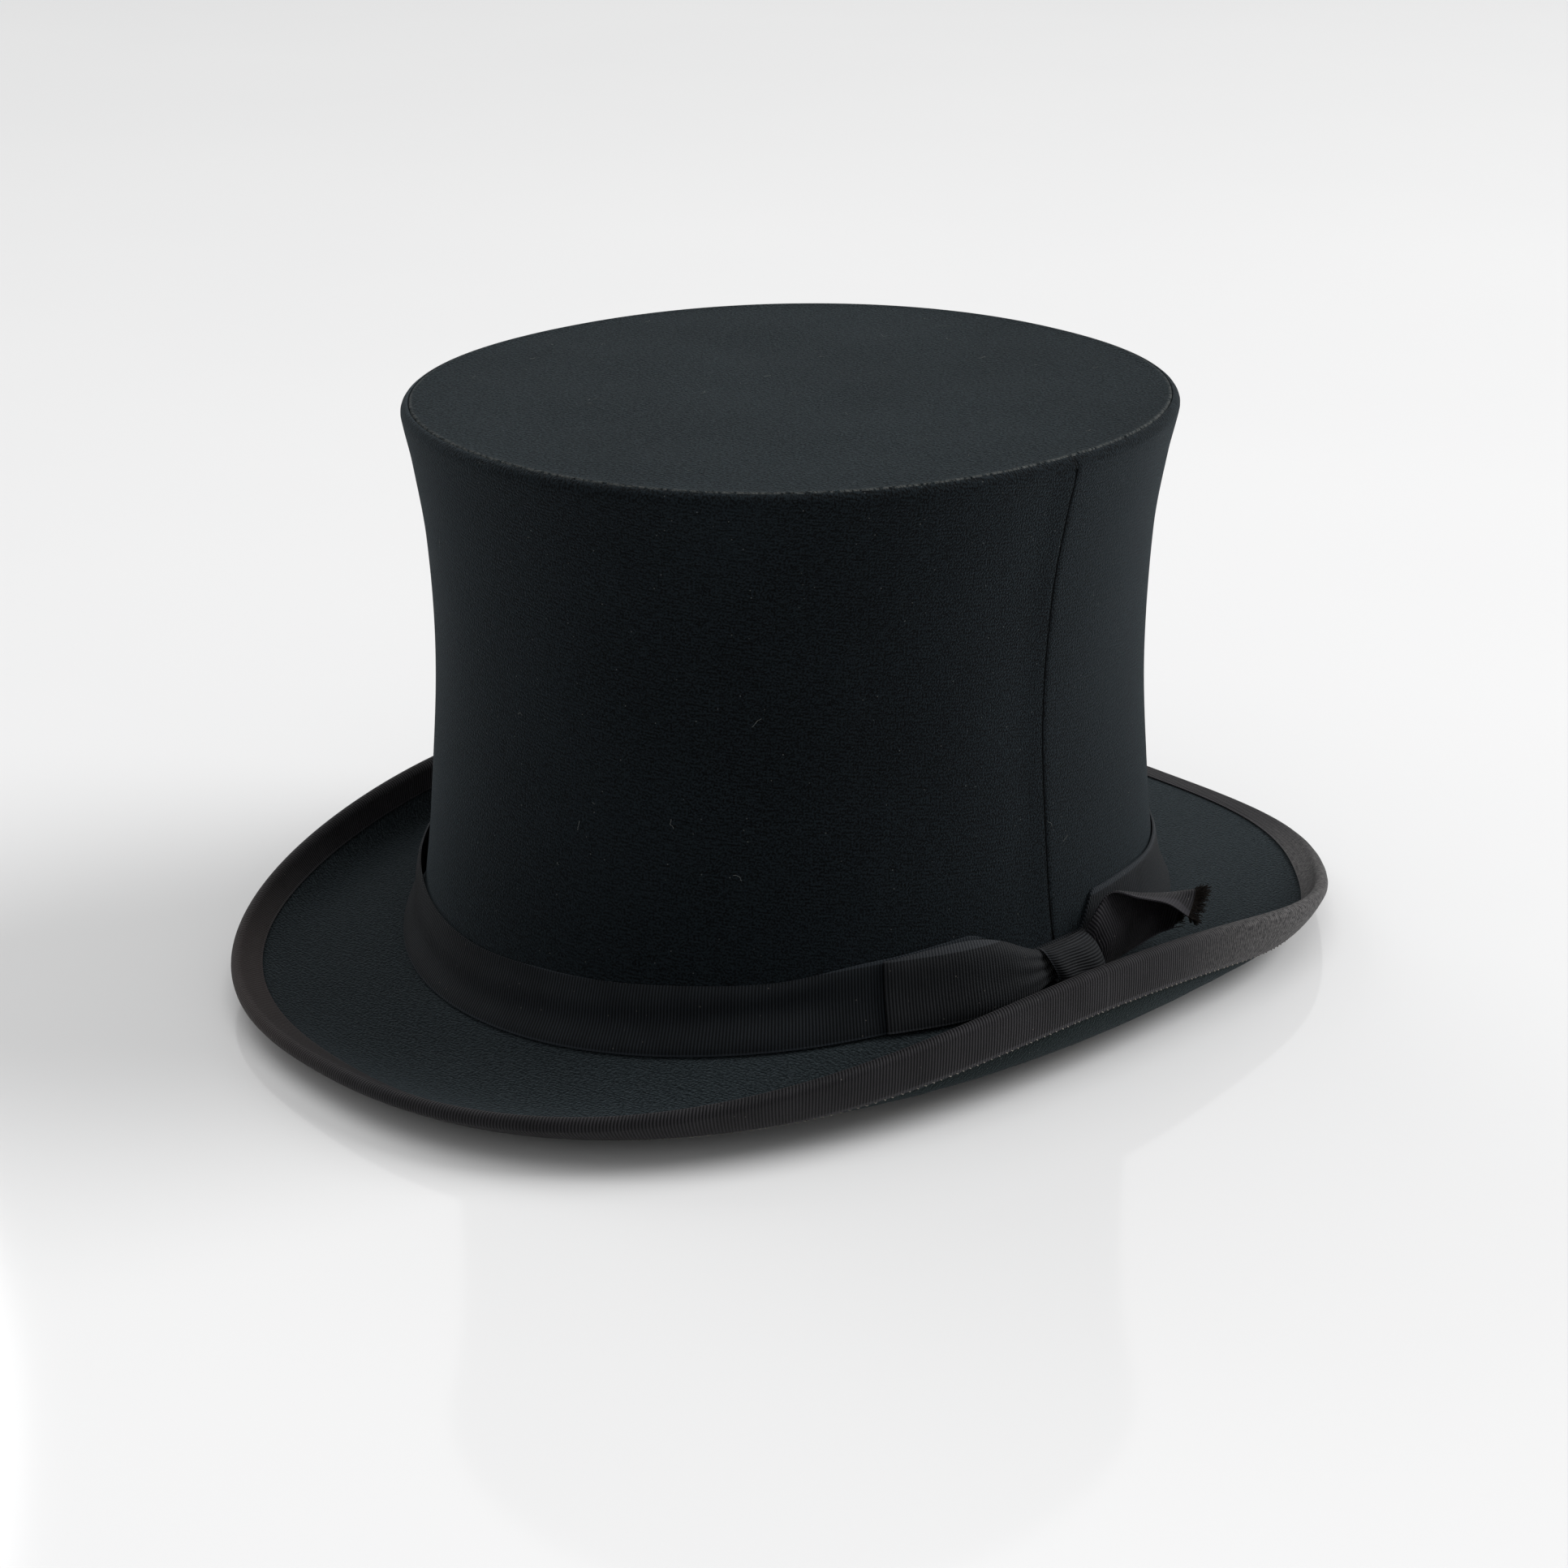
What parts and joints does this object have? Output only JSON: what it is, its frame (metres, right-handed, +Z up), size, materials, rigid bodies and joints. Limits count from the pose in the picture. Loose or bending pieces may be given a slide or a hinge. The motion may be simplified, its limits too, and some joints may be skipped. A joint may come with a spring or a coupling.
{
  "type": "collapsible top hat",
  "caption": "Black collapsible top hat: waisted cloth crown on sprung folding ribs, flat tip, ribbon band with side bow, curled and bound oval brim.",
  "frame": {"origin": "centre of the bounding box on the surface that the brim rests on", "axes": "+Z up through the tip, -Y towards the front of the hat, +X towards the wearer's left, where the bow is"},
  "size_m": [0.2284, 0.2993, 0.1455],
  "materials": {
    "crown_cloth": "matte black twilled wool and silk cloth",
    "tip_cloth": "matte slate black fine cloth",
    "under_cloth": "matte green black cloth",
    "ribbon": "ribbed black ribbon, slightly brown with age",
    "satin": "black satin",
    "leather": "worn brown leather",
    "stiffener": "shellacked board",
    "blued_steel": "blued spring steel",
    "plated_steel": "dull nickel plate",
    "reed": "bare reed"
  },
  "bodies": {
    "base": {"brim_board": "stiffener", "brim_top_cloth": "crown_cloth", "brim_under_cloth": "under_cloth", "brim_binding": "ribbon", "base_ring": "blued_steel", "hat_band": "ribbon", "bow_front_loop": "ribbon", "bow_knot": "ribbon", "bow_rear_loop": "ribbon", "sweatband": "leather", "sweatband_reed": "reed", "crown_side_cloth": "crown_cloth", "lining_gore_1": "satin", "lining_gore_2": "satin", "lining_gore_3": "satin", "lining_gore_4": "satin", "front_lower_bracket": "plated_steel", "front_lower_pin": "plated_steel", "back_lower_bracket": "plated_steel", "back_lower_pin": "plated_steel", "left_lower_bracket": "plated_steel", "left_lower_pin": "plated_steel", "right_lower_bracket": "plated_steel", "right_lower_pin": "plated_steel"},
    "front_lower_arm": {"front_lower_arm": "blued_steel", "front_knee_spring": "plated_steel"},
    "front_upper_arm": {"front_upper_arm": "blued_steel", "front_knee_pin": "plated_steel"},
    "back_lower_arm": {"back_lower_arm": "blued_steel", "back_knee_spring": "plated_steel"},
    "back_upper_arm": {"back_upper_arm": "blued_steel", "back_knee_pin": "plated_steel"},
    "left_lower_arm": {"left_lower_arm": "blued_steel", "left_knee_spring": "plated_steel"},
    "left_upper_arm": {"left_upper_arm": "blued_steel", "left_knee_pin": "plated_steel"},
    "right_lower_arm": {"right_lower_arm": "blued_steel", "right_knee_spring": "plated_steel"},
    "right_upper_arm": {"right_upper_arm": "blued_steel", "right_knee_pin": "plated_steel"},
    "crown_top": {"tip_cloth": "tip_cloth", "tip_board": "stiffener", "tip_lining": "satin", "top_ring": "blued_steel", "front_upper_bracket": "plated_steel", "front_upper_pin": "plated_steel", "back_upper_bracket": "plated_steel", "back_upper_pin": "plated_steel", "left_upper_bracket": "plated_steel", "left_upper_pin": "plated_steel", "right_upper_bracket": "plated_steel", "right_upper_pin": "plated_steel"}
  },
  "joints": [
    {"name": "crown_fold", "type": "hinge", "parent": "base", "child": "front_lower_arm", "pos_m": [0, -0.08907, 0.036], "axis": [-1, 0, 0], "range_deg": [0, 79.5], "stiffness_Nm_per_rad": 0.16, "springref_deg": -34.38, "deforming": ["crown_side_cloth", "lining_gore_1", "lining_gore_2", "lining_gore_3", "lining_gore_4"]},
    {"name": "front_knee_fold", "type": "hinge", "parent": "front_lower_arm", "child": "front_upper_arm", "pos_m": [0, -0.08547, 0.0874], "axis": [-1, 0, 0], "range_deg": [-159, 0]},
    {"name": "tip_fold", "type": "hinge", "parent": "front_upper_arm", "child": "crown_top", "pos_m": [0, -0.08907, 0.1388], "axis": [-1, 0, 0], "range_deg": [0, 79.5]},
    {"name": "back_lower_fold", "type": "hinge", "parent": "base", "child": "back_lower_arm", "pos_m": [0, 0.08907, 0.036], "axis": [1, 0, 0], "range_deg": [0, 79.5]},
    {"name": "back_knee_fold", "type": "hinge", "parent": "back_lower_arm", "child": "back_upper_arm", "pos_m": [0, 0.08547, 0.0874], "axis": [1, 0, 0], "range_deg": [-159, 0]},
    {"name": "left_lower_fold", "type": "hinge", "parent": "base", "child": "left_lower_arm", "pos_m": [0.08161, 0, 0.036], "axis": [0, -1, 0], "range_deg": [0, 79.5]},
    {"name": "left_knee_fold", "type": "hinge", "parent": "left_lower_arm", "child": "left_upper_arm", "pos_m": [0.07802, 0, 0.0874], "axis": [0, -1, 0], "range_deg": [-159, 0]},
    {"name": "right_lower_fold", "type": "hinge", "parent": "base", "child": "right_lower_arm", "pos_m": [-0.08161, 0, 0.036], "axis": [0, 1, 0], "range_deg": [0, 79.5]},
    {"name": "right_knee_fold", "type": "hinge", "parent": "right_lower_arm", "child": "right_upper_arm", "pos_m": [-0.07802, 0, 0.0874], "axis": [0, 1, 0], "range_deg": [-159, 0]}
  ],
  "couplings": [
    {"joint": "front_knee_fold", "follows": "crown_fold", "ratio": -2},
    {"joint": "tip_fold", "follows": "crown_fold", "ratio": 1},
    {"joint": "back_lower_fold", "follows": "crown_fold", "ratio": 1},
    {"joint": "back_knee_fold", "follows": "crown_fold", "ratio": -2},
    {"joint": "left_lower_fold", "follows": "crown_fold", "ratio": 1},
    {"joint": "left_knee_fold", "follows": "crown_fold", "ratio": -2},
    {"joint": "right_lower_fold", "follows": "crown_fold", "ratio": 1},
    {"joint": "right_knee_fold", "follows": "crown_fold", "ratio": -2}
  ]
}
